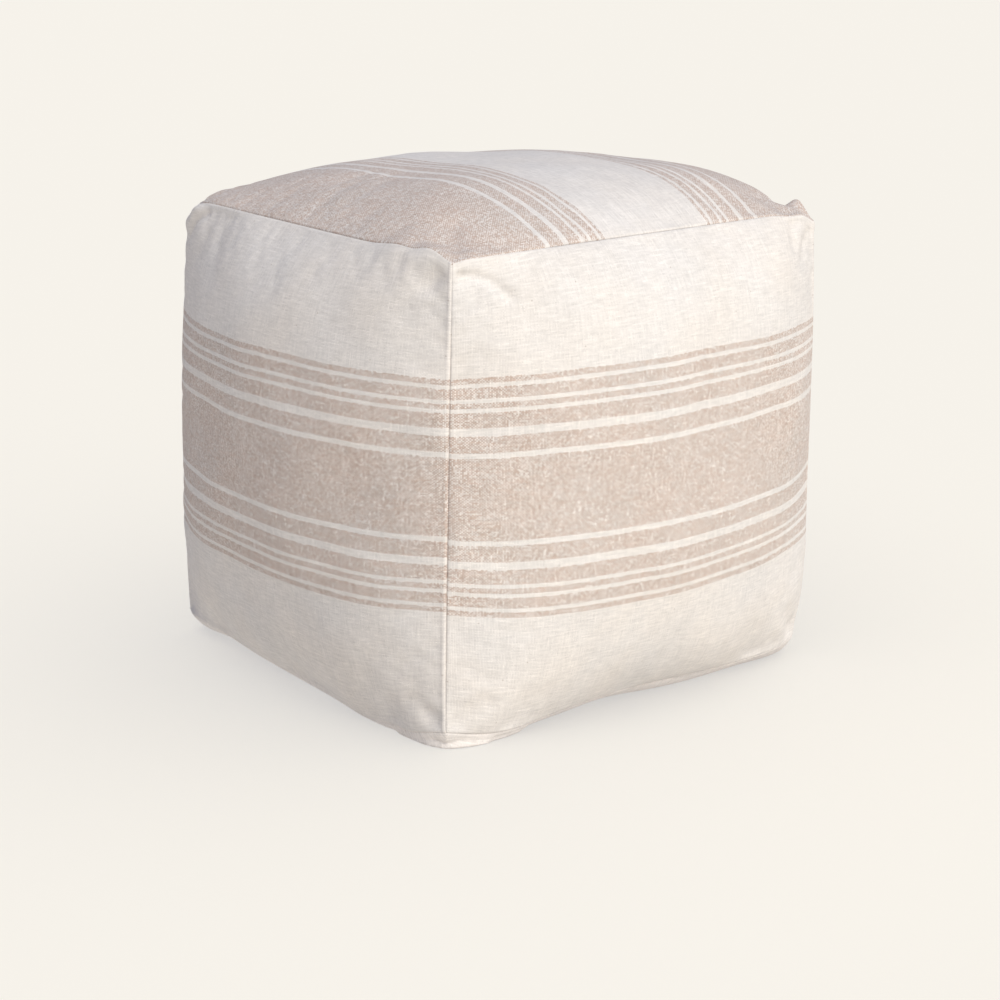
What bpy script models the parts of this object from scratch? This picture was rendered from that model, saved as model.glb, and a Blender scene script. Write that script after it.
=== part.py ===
"""Cube pouf stool: a stuffed cotton cube sewn from six square panels.

Metres, +Z up. The origin is the middle of the underside, on the floor. The cushion is one filled
form, and each cloth panel is a sheet lying on it, its edges meeting the next panel's at a seam.

Every panel is a patch over a square in two parameters, u across and v up (or u, v across the top
and the base), each from -1 to 1 between its seams. The seams carry the patch's edges, and the
stuffing swells it outwards between them.
"""

import math

import bmesh
import bpy

# Cloth and its fit.
SHEET = 0.002                # thickness of a panel's cloth
AIR = 0.0003                 # clearance between cloth and stuffing
SEAM_AIR = 0.0003            # how far each panel stops short of its seam line

# Seams. A corner is where three seams meet; half-widths run from the middle to a corner. A bow
# is how far a seam stands out of the straight line between its corners, and a power says how
# late along the seam that dies away.
TOP_CORNER = 0.196           # half-width of the cube at its four upper corners
TOP_SEAM_Z = 0.409           # height of the upper corners
TOP_SEAM_RISE = 0.004        # the top seams arch up this much
TOP_SEAM_BOW = 0.0127        # and bow outwards this much
TOP_SEAM_POWER = 3.6
FOOT_CORNER = 0.2005         # half-width at the four lower corners
FOOT_CORNER_Z = 0.0166       # height of the lower corners, tucked up off the floor
FOOT_SEAM_DROP = 0.0058      # the foot seams hang this much lower midway
FOOT_DROP_POWER = 5.0
FOOT_SEAM_BOW = 0.0102       # and bow outwards this much, which rounds the lower corners
FOOT_BOW_POWER = 10.0
UPRIGHT_BOW = 0.0026         # the upright seams bow outwards this much at half height
UPRIGHT_POWER = 4.5

# Stuffing. Each side swells in a round belly and in a squarer shoulder nearer to its seams.
BELLY_ACROSS = 2.0
BELLY_UP = 2.8
BELLY_TOP_HEAVY = 0.18       # share by which the belly is fuller towards the top
SHOULDER_ACROSS = 2.4
SHOULDER_UP = 7.6
CROWN = 0.0324               # the top panel swells this far above its seams
CROWN_POWER = 3.3
CROWN_FORWARD = 0.32         # share by which the crown is fuller at the front
CROWN_LEFT = 0.14            # and at the left
LEAN = 0.012                 # the top sits this far forward of the foot
FLAT_SHARE = 0.925           # share of the base that lies flat; the rest turns up to the seam
BASE_TURN_POWER = 1.2

# name, quarter turns from the front, belly and shoulder
SIDE_PANELS = (
    ("side_panel_front", 0, 0.030, 0.021),
    ("side_panel_right", 1, 0.034, 0.014),
    ("side_panel_back", 2, 0.028, 0.019),
    ("side_panel_left", 3, 0.036, 0.014),
)

CELLS = 14                   # grid cells along each side of a panel

# name, base colour, roughness
CLOTHS = {
    "form": ("stuffed_form", (0.80, 0.77, 0.72), 0.95),
    "top": ("striped_top_cloth", (0.58, 0.50, 0.43), 0.92),
    "side": ("banded_side_cloth", (0.84, 0.80, 0.73), 0.92),
    "base": ("plain_base_cloth", (0.87, 0.85, 0.81), 0.92),
}


def fade(t, power):
    """1 at the middle of a seam or panel, falling to 0 at its ends."""
    return 1 - abs(t) ** power


def mix(a, b, share):
    return a + (b - a) * share


def seam_along_top(u):
    """Upper seam: distance along it, distance out from the middle, height."""
    bow = fade(u, TOP_SEAM_POWER)
    return u * TOP_CORNER, TOP_CORNER + TOP_SEAM_BOW * bow, TOP_SEAM_Z + TOP_SEAM_RISE * bow


def seam_along_foot(u):
    """Lower seam, likewise."""
    out = FOOT_CORNER + FOOT_SEAM_BOW * fade(u, FOOT_BOW_POWER)
    return u * FOOT_CORNER, out, FOOT_CORNER_Z - FOOT_SEAM_DROP * fade(u, FOOT_DROP_POWER)


def lean(x, y, z):
    """Slides a point forward in proportion to its height above half height."""
    return x, y - LEAN * (z / TOP_SEAM_Z - 0.5), z


def side_point(u, v, turns, belly, shoulder):
    """A point of a side panel: a patch hung between its four seams, swollen outwards."""
    up = (v + 1) / 2
    foot_along, foot_out, foot_z = seam_along_foot(u)
    top_along, top_out, top_z = seam_along_top(u)
    upright = UPRIGHT_BOW * fade(v, UPRIGHT_POWER)
    along = mix(foot_along, top_along, up) + u * upright
    out = mix(foot_out, top_out, up) + upright
    fullness = 1 + BELLY_TOP_HEAVY * v
    out += belly * fullness * fade(u, BELLY_ACROSS) * fade(v, BELLY_UP)
    out += shoulder * fade(u, SHOULDER_ACROSS) * fade(v, SHOULDER_UP)
    x, y = along, -out
    for _ in range(turns):
        x, y = -y, x
    return lean(x, y, mix(foot_z, top_z, up))


def cap_edges(u, v, seam, corner, corner_z):
    """A point of a square patch hung between four like seams."""
    _, out_u, z_u = seam(u)
    _, out_v, z_v = seam(v)
    x = u * corner + u * (out_v - corner)
    y = v * corner + v * (out_u - corner)
    return x, y, z_u + z_v - corner_z


def top_point(u, v):
    """A point of the top panel: crowned, and fuller towards the front and the left."""
    x, y, z = cap_edges(u, v, seam_along_top, TOP_CORNER, TOP_SEAM_Z)
    fullness = 1 - CROWN_FORWARD * v - CROWN_LEFT * u
    z += CROWN * fade(u, CROWN_POWER) * fade(v, CROWN_POWER) * fullness
    return lean(x, y, z)


def base_point(u, v):
    """A point of the base: flat on the floor, its rim turned up to the foot seams."""
    x, y, z = cap_edges(u, v, seam_along_foot, FOOT_CORNER, FOOT_CORNER_Z)
    out = max(abs(u), abs(v))
    turned = max(0.0, (out - FLAT_SHARE) / (1 - FLAT_SHARE)) ** BASE_TURN_POWER
    x, y, _ = lean(x, y, z * turned)
    return x, y, SHEET + AIR + (z - SHEET - AIR) * turned


def spread(t):
    """Crowds grid lines towards the seams, where the cloth turns most."""
    return math.sin(t * math.pi / 2)


def add_patch(mesh, place, reach=1.0, faces_down=False):
    """Adds a grid over the whole panel to the mesh and moves each vertex to its place."""
    grid = bmesh.ops.create_grid(mesh, x_segments=CELLS, y_segments=CELLS, size=1.0)
    verts = grid["verts"]
    faces = list({face for vert in verts for face in vert.link_faces})
    if faces_down:
        bmesh.ops.reverse_faces(mesh, faces=faces)
    bmesh.ops.triangulate(mesh, faces=faces, quad_method="FIXED")
    for vert in verts:
        vert.co = place(spread(vert.co.x) * reach, spread(vert.co.y) * reach)


def new_object(name, mesh, cloth, collection):
    """Makes the object and its material, shaded smooth."""
    data = bpy.data.meshes.new(name)
    mesh.to_mesh(data)
    mesh.free()
    data.shade_smooth()
    material_name, colour, roughness = CLOTHS[cloth]
    material = bpy.data.materials.get(material_name)
    if material is None:
        material = bpy.data.materials.new(material_name)
        material.use_nodes = True
        shader = material.node_tree.nodes["Principled BSDF"]
        shader.inputs["Base Color"].default_value = (*colour, 1)
        shader.inputs["Roughness"].default_value = roughness
        shader.inputs["Metallic"].default_value = 0.0
    data.materials.append(material)
    made = bpy.data.objects.new(name, data)
    collection.objects.link(made)
    return made


def panel_places():
    """Each panel's name, its point function, and whether its grid faces down."""
    places = [("top_panel", "top", top_point, False), ("base_panel", "base", base_point, True)]
    for name, turns, belly, shoulder in SIDE_PANELS:
        def place(u, v, turns=turns, belly=belly, shoulder=shoulder):
            return side_point(u, v, turns, belly, shoulder)
        places.append((name, "side", place, False))
    return places


for leftover in list(bpy.data.objects):
    bpy.data.objects.remove(leftover, do_unlink=True)

pouf = bpy.data.collections.new("cube_pouf_stool")
bpy.context.scene.collection.children.link(pouf)

# The stuffing: the six patches joined into one closed, filled form.
form = bmesh.new()
for _, _, place, faces_down in panel_places():
    add_patch(form, place, faces_down=faces_down)
bmesh.ops.remove_doubles(form, verts=form.verts, dist=1e-5)
bmesh.ops.recalc_face_normals(form, faces=form.faces)
new_object("filled_form", form, "form", pouf)

# The cover: each panel a sheet just clear of the form, ending just short of its seams.
for name, cloth, place, faces_down in panel_places():
    sheet = bmesh.new()
    add_patch(sheet, place, reach=1 - SEAM_AIR / TOP_CORNER, faces_down=faces_down)
    sheet.normal_update()
    for vert in sheet.verts:
        vert.co += vert.normal * AIR
    panel = new_object(name, sheet, cloth, pouf)
    thickness = panel.modifiers.new("cloth", "SOLIDIFY")
    thickness.thickness = SHEET
    thickness.offset = 1.0
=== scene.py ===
import math

import bpy
import numpy as np
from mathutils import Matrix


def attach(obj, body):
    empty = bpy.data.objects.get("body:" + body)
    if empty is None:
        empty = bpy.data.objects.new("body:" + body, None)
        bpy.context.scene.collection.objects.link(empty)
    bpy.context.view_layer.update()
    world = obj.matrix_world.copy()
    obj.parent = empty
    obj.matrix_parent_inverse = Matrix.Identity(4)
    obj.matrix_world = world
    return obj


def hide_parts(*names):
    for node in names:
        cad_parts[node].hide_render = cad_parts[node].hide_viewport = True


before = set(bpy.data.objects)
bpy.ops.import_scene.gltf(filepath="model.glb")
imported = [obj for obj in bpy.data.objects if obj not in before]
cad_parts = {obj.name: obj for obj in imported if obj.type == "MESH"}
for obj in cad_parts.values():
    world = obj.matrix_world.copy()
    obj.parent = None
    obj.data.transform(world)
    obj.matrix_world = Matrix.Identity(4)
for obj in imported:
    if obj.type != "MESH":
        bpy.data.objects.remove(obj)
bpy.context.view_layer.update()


# ---------------------------------------------------------------------------------------------
# The stuffed cushion. The real pouf is a sewn cotton cube packed tight with fibre, so the seams
# hold its twelve edges back while the faces swell between them. Everything the cover does
# follows this form, so its seams and faces are worked out here.
# ---------------------------------------------------------------------------------------------

TOP_CORNER = 0.196
TOP_SEAM_Z = 0.409
TOP_SEAM_RISE = 0.004
TOP_SEAM_BOW = 0.0127
TOP_SEAM_POWER = 3.6
FOOT_CORNER = 0.2005
FOOT_CORNER_Z = 0.0166
FOOT_SEAM_DROP = 0.0058
FOOT_DROP_POWER = 5.0
FOOT_SEAM_BOW = 0.0102
FOOT_BOW_POWER = 10.0
UPRIGHT_BOW = 0.0026
UPRIGHT_POWER = 4.5
BELLY_ACROSS = 2.0
BELLY_UP = 2.8
BELLY_TOP_HEAVY = 0.18
SHOULDER_ACROSS = 2.4
SHOULDER_UP = 7.6
CROWN = 0.0324
CROWN_POWER = 3.3
CROWN_FORWARD = 0.32
CROWN_LEFT = 0.14
LEAN = 0.012
FLAT_SHARE = 0.925
BASE_TURN_POWER = 1.2

# quarter turns from the front, belly and shoulder of each side
SIDES = {
    "side_panel_front": (0, 0.030, 0.021),
    "side_panel_right": (1, 0.034, 0.014),
    "side_panel_back": (2, 0.028, 0.019),
    "side_panel_left": (3, 0.036, 0.014),
}


def fade(t, power):
    """One at the middle, falling to nothing at both ends: 1 minus |t| to the power."""
    return 1 - np.abs(t) ** power


def top_seam(t):
    """Upper seam: how far out it stands and how high, along t from corner to corner."""
    bow = fade(t, TOP_SEAM_POWER)
    return TOP_CORNER + TOP_SEAM_BOW * bow, TOP_SEAM_Z + TOP_SEAM_RISE * bow


def foot_seam(t):
    """Lower seam: how far out it stands and how high, along t from corner to corner."""
    out = FOOT_CORNER + FOOT_SEAM_BOW * fade(t, FOOT_BOW_POWER)
    return out, FOOT_CORNER_Z - FOOT_SEAM_DROP * fade(t, FOOT_DROP_POWER)


def leaning(x, y, z):
    """Stacks x, y and z, slid forward in proportion to height above half height."""
    return np.stack([x, y - LEAN * (z / TOP_SEAM_Z - 0.5), z], axis=-1)


def side_surface(u, v, turns, belly, shoulder):
    """Blend of the foot seam and the top seam by height, plus a belly and a squarer shoulder
    that both die away towards the four seams, turned round by quarter turns."""
    up = (v + 1) / 2
    foot_out, foot_z = foot_seam(u)
    top_out, top_z = top_seam(u)
    upright = UPRIGHT_BOW * fade(v, UPRIGHT_POWER)
    along = u * (FOOT_CORNER + (TOP_CORNER - FOOT_CORNER) * up + upright)
    out = foot_out + (top_out - foot_out) * up + upright
    out = out + belly * (1 + BELLY_TOP_HEAVY * v) * fade(u, BELLY_ACROSS) * fade(v, BELLY_UP)
    out = out + shoulder * fade(u, SHOULDER_ACROSS) * fade(v, SHOULDER_UP)
    x, y = along, -out
    for _ in range(turns):
        x, y = -y, x
    return leaning(x, y, foot_z + (top_z - foot_z) * up)


def cap_surface(u, v, seam, corner_z):
    """Square patch between four like seams: each seam's bow carries right across."""
    out_u, z_u = seam(u)
    out_v, z_v = seam(v)
    return u * out_v, v * out_u, z_u + z_v - corner_z


def top_surface(u, v):
    """The cap between the top seams plus a crown, fuller to the front and the left."""
    x, y, z = cap_surface(u, v, top_seam, TOP_SEAM_Z)
    full = 1 - CROWN_FORWARD * v - CROWN_LEFT * u
    return leaning(x, y, z + CROWN * fade(u, CROWN_POWER) * fade(v, CROWN_POWER) * full)


def base_surface(u, v):
    """The cap between the foot seams, flat on the floor but for its turned-up rim."""
    x, y, z = cap_surface(u, v, foot_seam, FOOT_CORNER_Z)
    rim = (np.maximum(np.abs(u), np.abs(v)) - FLAT_SHARE) / (1 - FLAT_SHARE)
    return leaning(x, y, z * np.clip(rim, 0, 1) ** BASE_TURN_POWER)


# Where the seams and stuffing are pulled about: place, reach, and push, all in metres.
PULLS = (
    # upper corner between front and left: the seam is held high, then drops into the corner
    ((-0.199, -0.178, 0.411), 0.015, (0, 0, 0.0062)),
    ((-0.203, -0.143, 0.412), 0.022, (0, 0, 0.0036)),
    ((-0.195, -0.202, 0.409), 0.007, (0, 0, -0.0018)),
    # upper corner between left and back: the seam drawn in, the side cloth rolling over it
    ((-0.194, 0.184, 0.409), 0.027, (0.0016, -0.0012, -0.0042)),
    ((-0.196, 0.192, 0.413), 0.013, (0.0075, -0.0065, 0.0010)),
    # upper corner between front and right: a dip in the right seam, an ear, a low corner
    ((0.203, -0.153, 0.412), 0.0135, (0, 0, -0.0090)),
    ((0.184, -0.171, 0.417), 0.013, (0, 0, -0.0054)),
    ((0.201, -0.178, 0.412), 0.011, (0, 0, 0.0058)),
    ((0.175, -0.105, 0.427), 0.040, (0, 0, 0.0028)),
    ((0.199, -0.204, 0.408), 0.014, (0.0030, 0, -0.0105)),
    ((0.166, -0.208, 0.411), 0.017, (0, 0, -0.0026)),
    ((0.170, -0.030, 0.428), 0.070, (0, 0, 0.0030)),
    # upper corner between right and back
    ((0.194, 0.186, 0.409), 0.018, (-0.0030, -0.0020, -0.0040)),
    # foot corner between front and left: blunt, the cloth pushed down on both sides of it
    ((-0.213, -0.092, 0.012), 0.048, (0, 0, -0.0084)),
    ((-0.211, -0.160, 0.013), 0.021, (0, 0, -0.0036)),
    ((-0.146, -0.205, 0.011), 0.040, (0, -0.0020, -0.0042)),
    # foot seams lifted off the floor, and the corner between front and right drawn in
    ((-0.010, -0.204, 0.008), 0.075, (0, 0, 0.0044)),
    ((-0.206, 0.140, 0.012), 0.052, (0, 0, 0.0062)),
    ((0.199, -0.197, 0.020), 0.028, (-0.0055, 0, 0.0010)),
    ((0.060, 0.205, 0.010), 0.035, (0, 0, 0.0040)),
    ((0.206, 0.090, 0.010), 0.040, (0, 0, 0.0035)),
)

# Soft troughs (pushed in) and ridges (pushed out) of each panel: points on the panel from its
# middle, to the right and up as seen from outside, then width and push.
CREASES = {
    "side_panel_left": (
        (((0.188, 0.185), (0.183, 0.178)), 0.0075, -0.0032),
        (((0.183, 0.176), (0.164, 0.154)), 0.0120, -0.0008),
        (((-0.148, 0.192), (-0.166, 0.184), (-0.181, 0.168)), 0.0042, -0.0036),
        (((-0.132, 0.188), (-0.140, 0.160)), 0.0130, -0.0014),
        (((-0.105, 0.184), (-0.098, 0.150)), 0.0180, -0.0016),
        (((-0.170, 0.196), (-0.192, 0.182)), 0.0110, 0.0036),
        (((0.190, -0.190), (0.176, -0.172)), 0.0080, -0.0022),
        (((0.150, -0.190), (0.128, -0.160)), 0.0150, -0.0014),
        (((-0.188, -0.190), (-0.168, -0.166)), 0.0090, -0.0026),
        (((-0.120, -0.192), (-0.104, -0.168)), 0.0120, -0.0016),
    ),
    "side_panel_front": (
        (((-0.193, 0.187), (-0.180, 0.186), (-0.168, 0.180), (-0.156, 0.168)), 0.0048, -0.0042),
        (((-0.182, 0.176), (-0.183, 0.160)), 0.0022, -0.0008),
        (((-0.175, 0.173), (-0.174, 0.154)), 0.0026, -0.0010),
        (((-0.167, 0.166), (-0.165, 0.150)), 0.0022, -0.0007),
        (((-0.150, 0.158), (-0.128, 0.140)), 0.0160, -0.0012),
        (((0.190, 0.184), (0.172, 0.162)), 0.0080, -0.0026),
        (((0.166, 0.193), (0.158, 0.174)), 0.0070, -0.0022),
        (((-0.190, -0.188), (-0.170, -0.172)), 0.0080, -0.0022),
        (((-0.148, -0.193), (-0.136, -0.172)), 0.0110, -0.0014),
        (((0.188, -0.188), (0.168, -0.164)), 0.0090, -0.0028),
        (((0.130, -0.192), (0.118, -0.168)), 0.0130, -0.0013),
    ),
    "side_panel_right": (
        (((-0.191, 0.186), (-0.172, 0.170)), 0.0070, -0.0030),
        (((-0.160, 0.193), (-0.150, 0.172)), 0.0090, -0.0020),
        (((0.189, 0.187), (0.180, 0.172), (0.162, 0.160)), 0.0080, -0.0026),
        (((0.130, 0.193), (0.122, 0.170)), 0.0110, -0.0014),
        (((-0.188, -0.188), (-0.166, -0.168)), 0.0090, -0.0026),
        (((0.190, -0.190), (0.172, -0.170)), 0.0080, -0.0030),
        (((0.140, -0.192), (0.126, -0.166)), 0.0130, -0.0015),
    ),
    "side_panel_back": (
        (((-0.190, 0.188), (-0.178, 0.172)), 0.0080, -0.0032),
        (((-0.146, 0.193), (-0.138, 0.170)), 0.0100, -0.0016),
        (((0.192, 0.186), (0.170, 0.176)), 0.0065, -0.0026),
        (((0.158, 0.192), (0.150, 0.168)), 0.0100, -0.0020),
        (((-0.189, -0.189), (-0.170, -0.166)), 0.0090, -0.0025),
        (((0.186, -0.190), (0.168, -0.172)), 0.0080, -0.0022),
        (((0.110, -0.193), (0.100, -0.170)), 0.0120, -0.0012),
    ),
    "top_panel": (
        (((-0.194, -0.190), (-0.180, -0.192)), 0.0070, 0.0016),
        (((-0.184, -0.176), (-0.160, -0.150)), 0.0110, -0.0018),
        (((-0.188, 0.186), (-0.166, 0.166)), 0.0090, -0.0028),
        (((-0.150, 0.193), (-0.140, 0.168)), 0.0110, -0.0018),
        (((0.166, -0.194), (0.154, -0.168)), 0.0100, -0.0030),
        (((0.193, -0.158), (0.170, -0.148)), 0.0090, -0.0030),
        (((0.187, 0.188), (0.162, 0.160)), 0.0100, -0.0026),
        (((0.120, 0.193), (0.116, 0.172)), 0.0120, -0.0014),
    ),
    "base_panel": (
        (((-0.193, -0.145), (-0.192, -0.176), (-0.187, -0.188), (-0.174, -0.192),
          (-0.160, -0.193)), 0.0060, 0.0036),
        (((-0.193, -0.110), (-0.192, -0.176), (-0.187, -0.188), (-0.174, -0.192),
          (-0.125, -0.193)), 0.0060, 0.0024),
        (((-0.1955, -0.130), (-0.1950, -0.184), (-0.1920, -0.192), (-0.1840, -0.1955),
          (-0.140, -0.1960)), 0.0016, -0.0020),
        (((-0.1910, -0.150), (-0.1900, -0.178), (-0.1850, -0.188), (-0.1760, -0.1910),
          (-0.150, -0.1915)), 0.0016, -0.0018),
    ),
}
HALF_PANEL = 0.200           # a panel's nominal half width, which its u and v are measured by
HOLD = 0.004                 # creases die away over this much at a seam, so it stays closed

# Faint swells of the stuffing: waves per metre to the right and up, turn, and height.
SWELLS = (
    (5.3, 2.1, 0.4, 0.0008),
    (-3.2, 6.7, 2.2, 0.0007),
    (9.1, -4.6, 4.1, 0.0005),
    (-11.7, -9.4, 1.3, 0.0003),
)
SWELL_STEP = 1.7             # turn added from each panel to the next, so that none repeats
FAR = 9.0                    # farther than any point of a panel
CROWDING = 1.6               # how strongly grid lines crowd towards the seams


def pulled(points):
    """Adds every pull: its push times e to the minus (distance over reach) squared. Places that
    two panels share move alike, so seams stay closed. Nothing goes below the floor."""
    moved = points.copy()
    for place, reach, push in PULLS:
        apart = ((points - np.array(place)) ** 2).sum(axis=-1) / reach ** 2
        moved += np.exp(-apart)[..., None] * np.array(push)
    moved[..., 2] = np.maximum(moved[..., 2], 0)
    return moved


def from_line(a, b, line):
    """Distance of each point (a, b) to a line of a few straight stretches, the least of the
    distances to each stretch."""
    least = np.full(a.shape, FAR)
    for (a0, b0), (a1, b1) in zip(line[:-1], line[1:]):
        along = ((a - a0) * (a1 - a0) + (b - b0) * (b1 - b0)) / ((a1 - a0) ** 2 + (b1 - b0) ** 2)
        share = np.clip(along, 0, 1)
        gap = np.hypot(a - a0 - share * (a1 - a0), b - b0 - share * (b1 - b0))
        least = np.minimum(least, gap)
    return least


def unevenness(name, u, v):
    """How far the cloth stands out or in at each point: each crease as its push times e to the
    minus (distance over width) squared, and broad sine swells of the stuffing."""
    a, b = u * HALF_PANEL, v * HALF_PANEL
    push = np.zeros(u.shape)
    for line, width, height in CREASES[name]:
        push += height * np.exp(-(from_line(a, b, line) / width) ** 2)
    for per_a, per_b, turn, height in SWELLS:
        turn += SWELL_STEP * list(CREASES).index(name)
        push += height * np.sin(2 * np.pi * (per_a * a + per_b * b) + turn)
    edge = (1 - np.maximum(np.abs(u), np.abs(v))) * HALF_PANEL
    return push * (1 - np.exp(-(edge / HOLD) ** 2))


def panel_grid(cells):
    """u and v over a panel, from -1 to 1, their lines crowded towards the seams."""
    even = np.linspace(-1, 1, cells + 1)
    crowded = np.sign(even) * (1 - (1 - np.abs(even)) ** CROWDING)
    return np.meshgrid(crowded, crowded)


def outward(points, flip):
    """Unit normals of a grid: the cross product of its two directions, turned over if flip."""
    across = np.gradient(points, axis=1)
    along = np.gradient(points, axis=0)
    normal = np.cross(across, along) * (-1 if flip else 1)
    return normal / np.linalg.norm(normal, axis=-1, keepdims=True)


def grid_faces(rows, columns, flip, first=0):
    """Corner numbers of the quads between neighbouring grid points, turned over if flip."""
    number = np.arange(rows * columns).reshape(rows, columns) + first
    quads = np.stack([number[:-1, :-1], number[:-1, 1:], number[1:, 1:], number[1:, :-1]], axis=-1)
    quads = quads.reshape(-1, 4)
    return quads[:, ::-1] if flip else quads


def new_piece(name, points, quads, material, uv=None):
    """Puts whole arrays of points and quads into a smooth mesh object, with a UV if given."""
    mesh = bpy.data.meshes.new(name)
    mesh.from_pydata(points.reshape(-1, 3).tolist(), [], quads.tolist())
    if uv is not None:
        layer = mesh.uv_layers.new(name="cloth")
        corners = np.empty(len(mesh.loops), dtype=np.int32)
        mesh.loops.foreach_get("vertex_index", corners)
        layer.data.foreach_set("uv", uv.reshape(-1, 2)[corners].ravel())
    mesh.shade_smooth()
    mesh.materials.append(material)
    piece = bpy.data.objects.new(name, mesh)
    bpy.context.scene.collection.objects.link(piece)
    return piece


def node(tree, kind, inputs=None, **settings):
    """Adds a shader node with its settings, links or sets its inputs, and hands it back."""
    made = tree.nodes.new(kind)
    for key, value in settings.items():
        setattr(made, key, value)
    for key, value in (inputs or {}).items():
        if isinstance(value, bpy.types.NodeSocket):
            tree.links.new(value, made.inputs[key])
        else:
            made.inputs[key].default_value = value
    return made


def calc(tree, operation, first, second=0.0, third=0.0):
    """One Math node."""
    inputs = {0: first, 1: second, 2: third}
    return node(tree, "ShaderNodeMath", inputs, operation=operation).outputs[0]


def blend_colour(tree, share, first, second):
    """Mixes two colours by a share."""
    made = node(tree, "ShaderNodeMix", {"Factor": share}, data_type="RGBA")
    for key, value in ((6, first), (7, second)):
        if isinstance(value, bpy.types.NodeSocket):
            tree.links.new(value, made.inputs[key])
        else:
            made.inputs[key].default_value = (*value, 1)
    return made.outputs[2]


def cloth_shader(name):
    """A new cotton material, matte with a slight sheen: the material, its tree and its shader."""
    material = bpy.data.materials.new(name)
    material.use_nodes = True
    tree = material.node_tree
    shader = tree.nodes["Principled BSDF"]
    shader.inputs["Roughness"].default_value = 0.9
    shader.inputs["Specular IOR Level"].default_value = 0.2
    shader.inputs["Sheen Weight"].default_value = 0.12
    shader.inputs["Sheen Roughness"].default_value = 0.5
    return material, tree, shader


# The cover's surfaces: name, surface, whether its grid's own normal points inwards.
FACES = {name: (lambda u, v, turned=turned: side_surface(u, v, *turned), False)
         for name, turned in SIDES.items()}
FACES["top_panel"] = (top_surface, False)
FACES["base_panel"] = (base_surface, True)

COVER_CELLS = 48             # cells along each side of a panel of the simulated cover
WELD = 1e-5                  # panel edges closer than this are one seam
EASE = 0.004                 # the cloth is cut this share larger than the faces it covers
PRESSURE = 4.0
BLOW_FRAMES = 20
BROAD = 6                    # blurs after which only the cover's broad swelling is left
PUCKER_CAP = 0.0013


def blurred(values, times):
    """A grid smoothed by five-point binomial weights both ways, its edges carried straight on."""
    weights = np.array([1, 4, 6, 4, 1]) / 16
    for _ in range(times):
        for axis in (0, 1):
            wide = np.pad(values, [(2, 2) if axis == side else (0, 0) for side in (0, 1)],
                          mode="reflect", reflect_type="odd")
            count = values.shape[axis]
            values = sum(weight * wide.take(range(step, step + count), axis=axis)
                         for step, weight in enumerate(weights))
    return values


def blown_cover():
    """The six panels welded at their seams and blown up by cloth simulation, seams and base
    held. Hands back, for each panel, how far the cloth moved along its normal less that
    movement's own blur: the puckers beside the seams, without the broad swelling."""
    u, v = np.meshgrid(*[np.linspace(-1, 1, COVER_CELLS + 1)] * 2)
    shapes, normals, quads = [], [], []
    for name, (surface, flip) in FACES.items():
        points = surface(u, v)
        normals.append(outward(points, flip))
        shapes.append(pulled(points))
        quads.append(grid_faces(*u.shape, flip, first=len(quads) * u.size))
    rounded = np.round(np.reshape(shapes, (-1, 3)) / WELD).astype(np.int64)
    kept, number = np.unique(rounded, axis=0, return_inverse=True)
    number = number.reshape(-1)
    start = kept * WELD
    mesh = bpy.data.meshes.new("cover")
    mesh.from_pydata(start.tolist(), [], number[np.concatenate(quads)].tolist())
    cover = bpy.data.objects.new("cover", mesh)
    bpy.context.scene.collection.objects.link(cover)

    by_panel = number.reshape(len(FACES), -1)
    at_seam = np.maximum(np.abs(u), np.abs(v)).ravel() > 0.999
    still = np.union1d(by_panel[:, at_seam], by_panel[list(FACES).index("base_panel")])
    held = cover.vertex_groups.new(name="held")
    held.add(still.tolist(), 1.0, "REPLACE")
    cloth = cover.modifiers.new("blow up", "CLOTH")
    cloth.settings.use_pressure = True
    cloth.settings.uniform_pressure_force = PRESSURE
    cloth.settings.effector_weights.gravity = 0
    cloth.settings.vertex_group_mass = "held"
    cloth.settings.shrink_min = cloth.settings.shrink_max = -EASE
    for frame_number in range(1, BLOW_FRAMES + 1):
        bpy.context.scene.frame_set(frame_number)
    blown = cover.evaluated_get(bpy.context.evaluated_depsgraph_get()).to_mesh()
    end = np.empty(len(blown.vertices) * 3)
    blown.vertices.foreach_get("co", end)
    bpy.data.objects.remove(cover)
    bpy.context.scene.frame_set(1)

    moved = (end.reshape(-1, 3) - start)[number].reshape(len(FACES), *u.shape, 3)
    along = (moved * np.stack(normals)).sum(axis=-1)
    puckers = {}
    for name, out in zip(FACES, along):
        fine = out - blurred(out, BROAD)
        fine = PUCKER_CAP * np.tanh(fine / PUCKER_CAP)
        fine[[0, -1], :] = 0
        fine[:, [0, -1]] = 0
        puckers[name] = fine
    return puckers


def cubic_weights(places, count):
    """Catmull-Rom weights that read a row of count values at places from -1 to 1."""
    spot = (places + 1) / 2 * (count - 1)
    first = np.clip(np.floor(spot).astype(int), 0, count - 2)
    t = (spot - first)[:, None]
    four = np.hstack([-t + 2 * t ** 2 - t ** 3, 2 - 5 * t ** 2 + 3 * t ** 3,
                      t + 4 * t ** 2 - 3 * t ** 3, -t ** 2 + t ** 3]) / 2
    weights = np.zeros((len(places), count))
    for step in range(4):
        column = np.clip(first + step - 1, 0, count - 1)
        np.add.at(weights, (np.arange(len(places)), column), four[:, step])
    return weights


PUCKERS = blown_cover()


def worked_surface(name, u, v):
    """A panel's surface with its creases, swells and puckers pushed along the outward normal,
    then the pulls. Also hands back the new normal."""
    surface, flip = FACES[name]
    points = surface(u, v)
    push = unevenness(name, u, v)
    if PUCKERS:
        count = COVER_CELLS + 1
        push += cubic_weights(v[:, 0], count) @ PUCKERS[name] @ cubic_weights(u[0], count).T
    points = pulled(points + outward(points, flip) * push[..., None])
    return points, outward(points, flip)


FORM_CELLS = 40
FORM_INSET = 0.0045          # the stuffing's surface lies this far under the cloth's outer face

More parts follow.
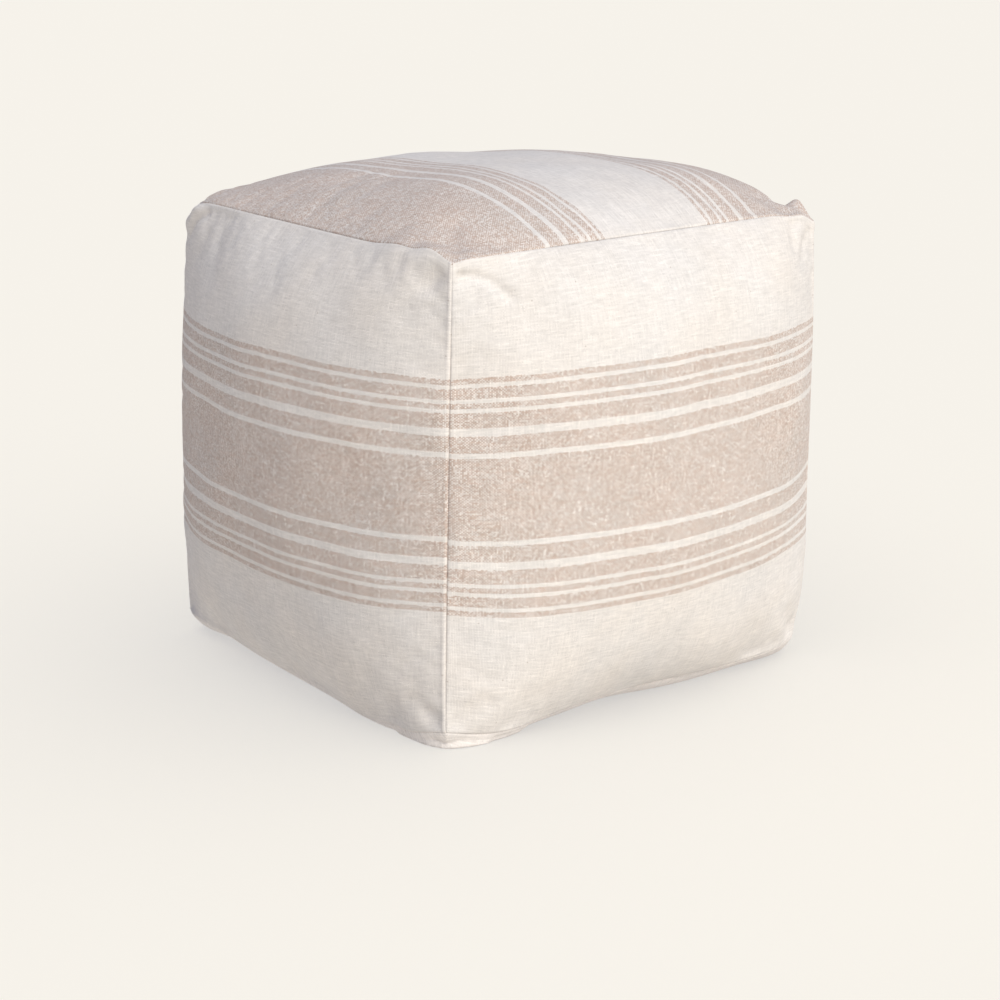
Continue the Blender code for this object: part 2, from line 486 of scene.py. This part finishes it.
calico, tree, shader = cloth_shader("stuffed_form")
cloudy = node(tree, "ShaderNodeTexNoise", {"Scale": 60.0, "Detail": 4.0})
tree.links.new(node(tree, "ShaderNodeTexCoord").outputs["Object"], cloudy.inputs["Vector"])
tint = blend_colour(tree, cloudy.outputs["Fac"], (0.66, 0.60, 0.52), (0.76, 0.71, 0.63))
tree.links.new(tint, shader.inputs["Base Color"])

u, v = panel_grid(FORM_CELLS)
shells = []
shell_quads = []
for name, (_, flip) in FACES.items():
    points, normal = worked_surface(name, u, v)
    shells.append(points - normal * FORM_INSET)
    shell_quads.append(grid_faces(*u.shape, flip, first=len(shell_quads) * u.size))
filled_form = new_piece("stuffed_cushion", np.stack(shells), np.concatenate(shell_quads), calico)
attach(filled_form, "root")
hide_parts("filled_form")


# ---------------------------------------------------------------------------------------------
# The base panel. A plain white cotton square that lies flat on the floor and turns up at its
# rim to the foot seams, where a pale strip of it shows. Its cloth is woven as the others' is.
# ---------------------------------------------------------------------------------------------

PANEL_CELLS = 150
CLOTH = 0.0012
ROLL = 0.0018                # each panel's edge rolls into its seam over this much
CUT = 0.420                  # the panels were cut about this square
WELT_IN = 0.0021             # how far in from the seam the ridge of turned-in edges lies
WELT_WIDTH = 0.0011
PATTERN_REACH = 0.30         # past the last stripe, measured from the pattern's middle

CREAM = (0.745, 0.686, 0.628)
CREAM_COOL = (0.720, 0.674, 0.630)
TAUPE = (0.508, 0.381, 0.313)
TAUPE_COOL = (0.493, 0.385, 0.320)
YARN = 0.00115               # pitch of the yarns, both ways
SLUBS = 60.0                 # thick and thin places per metre of yarn
WANDER = 0.0020              # a stripe's edge wanders this much each way
RAGGED = 0.0004              # and each crossing of yarns moves it this much each way
LUCK = 0.55                  # how far chance decides which yarn lies over at a crossing
HUSKS = 48.0                 # cells per metre that may hold a fleck of husk
HUSK = (0.30, 0.22, 0.16)
BASE_WHITE = (0.812, 0.742, 0.680)
BASE_COOL = (0.785, 0.728, 0.680)


def slub_cotton(name, stripes, reach, ground=(CREAM, CREAM_COOL)):
    """Plain-woven slub cotton. Yarns lie both ways at one pitch, each with its own thick and
    thin places, and the fuller yarn shows at each crossing; the weft's colour changes in
    stripes. stripes lists (distance from the middle of the pattern, "taupe" or "cream"), reach
    is a distance past the last of them, and ground is the cream itself, warm and cool."""
    material, tree, shader = cloth_shader(name)
    cloth = node(tree, "ShaderNodeUVMap", uv_map="cloth").outputs["UV"]
    place = node(tree, "ShaderNodeSeparateXYZ", {"Vector": cloth})
    x, y = place.outputs["X"], place.outputs["Y"]

    def noise(across, along, detail=2.0, shift=0.0):
        """Noise with so many waves per metre across the cloth and along it."""
        spread = node(tree, "ShaderNodeMapping", {
            "Vector": cloth, "Scale": (across, along, 1.0), "Location": (shift, shift, 0.0)})
        inputs = {"Vector": spread.outputs["Vector"], "Scale": 1.0, "Detail": detail}
        return node(tree, "ShaderNodeTexNoise", inputs, noise_dimensions="2D").outputs["Fac"]

    def yarns(where, along, seed):
        """Thick and thin places: noise that runs smoothly along a yarn and jumps between."""
        number = calc(tree, "FLOOR", calc(tree, "DIVIDE", where, YARN))
        spot = node(tree, "ShaderNodeCombineXYZ", {
            "X": calc(tree, "MULTIPLY", along, SLUBS),
            "Y": calc(tree, "MULTIPLY_ADD", number, 7.31, seed),
        })
        inputs = {"Vector": spot.outputs["Vector"], "Scale": 1.0, "Detail": 3.0, "Roughness": 0.6}
        slub = node(tree, "ShaderNodeTexNoise", inputs, noise_dimensions="2D").outputs["Fac"]
        return slub, number

    weft_slub, weft_number = yarns(y, x, 0.0)
    warp_slub, warp_number = yarns(x, y, 311.0)
    crossing = node(tree, "ShaderNodeCombineXYZ", {"X": warp_number, "Y": weft_number})
    chance = node(tree, "ShaderNodeTexWhiteNoise", {"Vector": crossing.outputs["Vector"]},
                  noise_dimensions="2D").outputs["Value"]

    # Height of each set of yarns: round across a yarn, rising and dipping past the other set.
    cross = calc(tree, "PINGPONG", calc(tree, "ADD", weft_number, warp_number), 1.0)
    round_weft, round_warp = [
        calc(tree, "SINE", calc(tree, "MULTIPLY", calc(
            tree, "FRACT", calc(tree, "DIVIDE", where, YARN)), math.pi))
        for where in (y, x)]
    weft_high = calc(tree, "MULTIPLY", round_weft, calc(
        tree, "MULTIPLY_ADD", calc(tree, "MULTIPLY", cross, round_warp), 0.6, 0.4))
    warp_high = calc(tree, "MULTIPLY", round_warp, calc(
        tree, "MULTIPLY_ADD", calc(tree, "MULTIPLY", calc(
            tree, "SUBTRACT", 1.0, cross), round_weft), 0.6, 0.4))
    weft_full = calc(tree, "MULTIPLY", weft_high, calc(tree, "MULTIPLY_ADD", weft_slub, 2.9, -0.35))
    warp_full = calc(tree, "MULTIPLY", warp_high, calc(tree, "MULTIPLY_ADD", warp_slub, 1.3, 0.30))
    lead = calc(tree, "ADD", calc(tree, "SUBTRACT", warp_full, weft_full),
                calc(tree, "MULTIPLY_ADD", chance, 2 * LUCK, -LUCK))
    warp_over = node(tree, "ShaderNodeMapRange", {
        "Value": lead, "From Min": -0.24, "From Max": 0.29}).outputs["Result"]

    # Weft colour: stripes whose edges wander slowly and are ragged yarn by yarn.
    wander = calc(tree, "MULTIPLY_ADD", noise(8.0, 8.0), 2 * WANDER, -WANDER)
    ragged = calc(tree, "MULTIPLY_ADD", chance, 2 * RAGGED, -RAGGED)
    from_middle = calc(tree, "ABSOLUTE", calc(tree, "ADD", y, calc(tree, "ADD", wander, ragged)))
    ramp = node(tree, "ShaderNodeValToRGB", {"Fac": calc(tree, "DIVIDE", from_middle, reach)})
    ramp.color_ramp.interpolation = "CONSTANT"
    stops = ramp.color_ramp.elements
    shade = {"taupe": (0, 0, 0, 1), "cream": (1, 1, 1, 1)}
    stops[0].color = shade[stripes[0][1]]
    stops.remove(stops[1])
    for distance, colour in stripes[1:]:
        stops.new(distance / reach).color = shade[colour]
    mottle = node(tree, "ShaderNodeMapRange", {
        "Value": noise(15.0, 15.0, 2.0, 5.0), "From Min": 0.30, "From Max": 0.70}).outputs["Result"]
    taupe = blend_colour(tree, mottle, TAUPE, TAUPE_COOL)
    cream = blend_colour(tree, mottle, *ground)
    weft = blend_colour(tree, ramp.outputs["Color"], taupe, cream)
    weft_colour = node(tree, "ShaderNodeVectorMath", {0: weft}, operation="SCALE")
    tree.links.new(calc(tree, "MULTIPLY_ADD", weft_slub, 0.50, 0.75), weft_colour.inputs["Scale"])
    warp_colour = node(tree, "ShaderNodeVectorMath", {0: cream}, operation="SCALE")
    tree.links.new(calc(tree, "MULTIPLY_ADD", warp_slub, 0.46, 0.78), warp_colour.inputs["Scale"])
    woven = blend_colour(tree, calc(tree, "MULTIPLY", warp_over, 0.88),
                         weft_colour.outputs["Vector"], warp_colour.outputs["Vector"])

    # Streaks where a few yarns together lie thick or thin, along the weft and along the warp,
    # and broad clouds, then sparse brown flecks of seed husk.
    streaks = calc(tree, "ADD", calc(tree, "MULTIPLY_ADD", noise(75.0, 430.0), 0.17, -0.085),
                   calc(tree, "MULTIPLY_ADD", noise(430.0, 75.0), 0.11, -0.055))
    clouds = calc(tree, "ADD", streaks, calc(tree, "MULTIPLY_ADD", noise(14.0, 14.0, 3.0), 0.10, 0.95))
    clouded = node(tree, "ShaderNodeVectorMath", {0: woven}, operation="SCALE")
    tree.links.new(clouds, clouded.inputs["Scale"])
    husks = node(tree, "ShaderNodeTexVoronoi", {"Vector": cloth, "Scale": HUSKS},
                 voronoi_dimensions="2D")
    chosen = calc(tree, "GREATER_THAN", node(
        tree, "ShaderNodeSeparateColor", {"Color": husks.outputs["Color"]}).outputs[0], 0.90)
    near = node(tree, "ShaderNodeMapRange", {
        "Value": husks.outputs["Distance"], "From Min": 0.018, "From Max": 0.042,
        "To Min": 0.40, "To Max": 0.0}).outputs["Result"]
    coloured = blend_colour(tree, calc(tree, "MULTIPLY", chosen, near),
                            clouded.outputs["Vector"], HUSK)
    tree.links.new(coloured, shader.inputs["Base Color"])

    height = calc(tree, "ADD", calc(tree, "MAXIMUM", weft_full, warp_full),
                  calc(tree, "MULTIPLY", noise(140.0, 140.0, 3.0), 0.7))
    relief = node(tree, "ShaderNodeBump", {"Height": height, "Strength": 0.35,
                                           "Distance": 0.0004})
    tree.links.new(relief.outputs["Normal"], shader.inputs["Normal"])
    rough = calc(tree, "MULTIPLY_ADD", height, -0.05, 0.97)
    tree.links.new(rough, shader.inputs["Roughness"])
    return material


def seam_roll(u, v):
    """How deep the cloth has rolled into its seams: a quarter circle over the last stretch."""
    gap = (1 - np.maximum(np.abs(u), np.abs(v))) * HALF_PANEL
    turned = np.clip(1 - gap / ROLL, 0, 1)
    return ROLL * (1 - np.sqrt(1 - turned ** 2))


def sew_panel(name, material, along_y=False, lift=0.0, drawn=1.0, spread=0.0, welt=0.0):
    """Grid over the panel's worked surface, rolled in at its seams, with a cloth's thickness.
    along_y turns the stripes to run front to back, lift moves the woven pattern, drawn and
    spread scale it, and welt is the height of the ridge that the turned-in edges raise beside
    the right-hand upright seam."""
    u, v = panel_grid(PANEL_CELLS)
    points, normal = worked_surface(name, u, v)
    beside = (1 - u) * HALF_PANEL
    ridge = welt * np.exp(-((beside - WELT_IN) / WELT_WIDTH) ** 2)
    points = points + normal * (ridge - seam_roll(u, v))[..., None]
    cloth_x, cloth_y = (v, u) if along_y else (u, v)
    pulled_tight = drawn * (1 - spread * fade(cloth_x, 2))
    uv = np.stack([cloth_x * CUT / 2, cloth_y * pulled_tight * CUT / 2 - lift], axis=-1)
    piece = new_piece(name + "_cloth", points, grid_faces(*u.shape, FACES[name][1]), material, uv)
    thickness = piece.modifiers.new("cloth", "SOLIDIFY")
    thickness.thickness = CLOTH
    thickness.offset = -1.0
    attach(piece, "root")
    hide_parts(name)
    return piece


plain_cotton = slub_cotton("plain_base_cloth", [(0.0, "cream")], PATTERN_REACH,
                           (BASE_WHITE, BASE_COOL))
sew_panel("base_panel", plain_cotton)


# ---------------------------------------------------------------------------------------------
# The four side panels. Slub cotton woven with one wide taupe stripe and a graded group of
# narrower ones on each side of it, set level round the cube and sewn edge to edge.
# ---------------------------------------------------------------------------------------------

# Widths outwards from the middle of the band, in the order they are woven.
HALF_BAND = (
    ("middle stripe, half", 0.0342, "taupe"),
    ("gap", 0.0050, "cream"),
    ("wide stripe", 0.0140, "taupe"),
    ("gap", 0.0067, "cream"),
    ("wide stripe", 0.0134, "taupe"),
    ("gap", 0.0039, "cream"),
    ("thin stripe", 0.0043, "taupe"),
    ("gap", 0.0035, "cream"),
    ("medium stripe", 0.0093, "taupe"),
    ("gap", 0.0031, "cream"),
    ("thin stripe", 0.0047, "taupe"),
    ("plain cloth", 0.1500, "cream"),
)

# How far the band sits above each panel's middle, how tight the panel is drawn, and how much
# more the stripes are spread where it swells most.
BAND_SET = {
    "side_panel_front": (0.0046, 0.985, 0.036),
    "side_panel_right": (0.0060, 0.995, 0.020),
    "side_panel_back": (0.0052, 0.990, 0.026),
    "side_panel_left": (0.0059, 1.000, 0.008),
}
WELT = 0.0004                # height of the ridge beside each upright seam


def stripe_starts(widths):
    """Distances at which each stripe starts, added up from the middle."""
    starts = np.concatenate([[0.0], np.cumsum([width for _, width, _ in widths])[:-1]])
    return [(float(start), colour) for start, (_, _, colour) in zip(starts, widths)]


banded_cotton = slub_cotton("banded_side_cloth", stripe_starts(HALF_BAND), PATTERN_REACH)
for name, (lift, drawn, spread) in BAND_SET.items():
    sew_panel(name, banded_cotton, lift=lift, drawn=drawn, spread=spread,
              welt=WELT)


# ---------------------------------------------------------------------------------------------
# The top panel. The same cloth, cut so that a plain white stretch runs front to back across
# the crown with a graded group of stripes on each side and wide taupe out to the seams.
# ---------------------------------------------------------------------------------------------

HALF_TOP = (
    ("plain, half", 0.0586, "cream"),
    ("thin stripe", 0.0045, "taupe"),
    ("gap", 0.0031, "cream"),
    ("medium stripe", 0.0086, "taupe"),
    ("gap", 0.0033, "cream"),
    ("thin stripe", 0.0043, "taupe"),
    ("gap", 0.0037, "cream"),
    ("wide stripe", 0.0128, "taupe"),
    ("gap", 0.0063, "cream"),
    ("wide stripe", 0.0135, "taupe"),
    ("gap", 0.0047, "cream"),
    ("wide taupe to the seam", 0.1500, "taupe"),
)
PLAIN_SHIFT = 0.0053         # the plain stretch lies this far to the right of the middle

striped_cotton = slub_cotton("striped_top_cloth", stripe_starts(HALF_TOP), PATTERN_REACH)
sew_panel("top_panel", striped_cotton, along_y=True, lift=PLAIN_SHIFT)


# ---------------------------------------------------------------------------------------------
# The studio: a pale floor that glows a little and runs into a backdrop of the same colour, cool
# light from all round, a broad warm softbox facing the front panel, and the camera.
# ---------------------------------------------------------------------------------------------

FLOOR = 40.0                 # half the floor's width
FLOOR_Z = -0.0005
SKY = (0.236, 0.266, 0.376)
BACKDROP = (0.93, 0.896, 0.85)
FLOOR_GLOW = (0.391, 0.391, 0.389)

floor_mesh = bpy.data.meshes.new("floor")
corner_points = [(-FLOOR, -FLOOR, FLOOR_Z), (FLOOR, -FLOOR, FLOOR_Z),
                 (FLOOR, FLOOR, FLOOR_Z), (-FLOOR, FLOOR, FLOOR_Z)]
floor_mesh.from_pydata(corner_points, [], [(0, 1, 2, 3)])
floor = bpy.data.objects.new("floor", floor_mesh)
bpy.context.scene.collection.objects.link(floor)
paper = bpy.data.materials.new("floor_paper")
paper.use_nodes = True
paper_shader = paper.node_tree.nodes["Principled BSDF"]
paper_shader.inputs["Base Color"].default_value = (0.50, 0.50, 0.50, 1)
paper_shader.inputs["Roughness"].default_value = 1.0
paper_shader.inputs["Specular IOR Level"].default_value = 0.0
paper_shader.inputs["Emission Color"].default_value = (*FLOOR_GLOW, 1)
paper_shader.inputs["Emission Strength"].default_value = 1.0
floor_mesh.materials.append(paper)

world = bpy.data.worlds.new("studio")
world.use_nodes = True
sky = world.node_tree.nodes["Background"]
seen = node(world.node_tree, "ShaderNodeLightPath").outputs["Is Camera Ray"]
sky_colour = blend_colour(world.node_tree, seen, SKY, BACKDROP)
world.node_tree.links.new(sky_colour, sky.inputs["Color"])
sky.inputs["Strength"].default_value = 1.0
bpy.context.scene.world = world


def soft_light(name, energy, colour, spread, rise, turn, shines_on):
    """A sun with a wide disc, which works as a big softbox, for the listed pieces only. spread,
    rise above the floor and turn from the front panel's facing are in degrees."""
    data = bpy.data.lights.new(name, "SUN")
    data.energy = energy
    data.color = colour
    data.angle = math.radians(spread)
    light = bpy.data.objects.new(name, data)
    light.rotation_euler = (math.radians(90 - rise), 0, math.radians(turn))
    bpy.context.scene.collection.objects.link(light)
    lit = bpy.data.collections.new(name + "_lights")
    for piece in shines_on:
        lit.objects.link(piece)
    light.light_linking.receiver_collection = lit


pouf = [piece for piece in bpy.context.scene.objects if piece.type == "MESH" and piece != floor]
soft_light("softbox", 3.10, (1.0, 0.99, 0.93), 37, 42.9, -3.8, pouf)
soft_light("ceiling", 2.7, (1.0, 0.88, 0.60), 120, 75, 25, [floor])

# The camera looks at AIM from DISTANCE away, turned from the front panel's facing and raised.
TURN = math.radians(-37.87)
RISE = math.radians(15.9)
DISTANCE = 2.335
AIM = np.array([0.0051, -0.0040, 0.1361])
LENS = 92.1

camera_data = bpy.data.cameras.new("camera")
camera_data.lens = LENS
camera = bpy.data.objects.new("camera", camera_data)
away = np.array([math.sin(TURN) * math.cos(RISE), -math.cos(TURN) * math.cos(RISE),
                 math.sin(RISE)])
camera.location = AIM + away * DISTANCE
camera.rotation_euler = (math.pi / 2 - RISE, 0, TURN)
bpy.context.scene.collection.objects.link(camera)
bpy.context.scene.camera = camera
bpy.context.scene.view_settings.view_transform = "Standard"
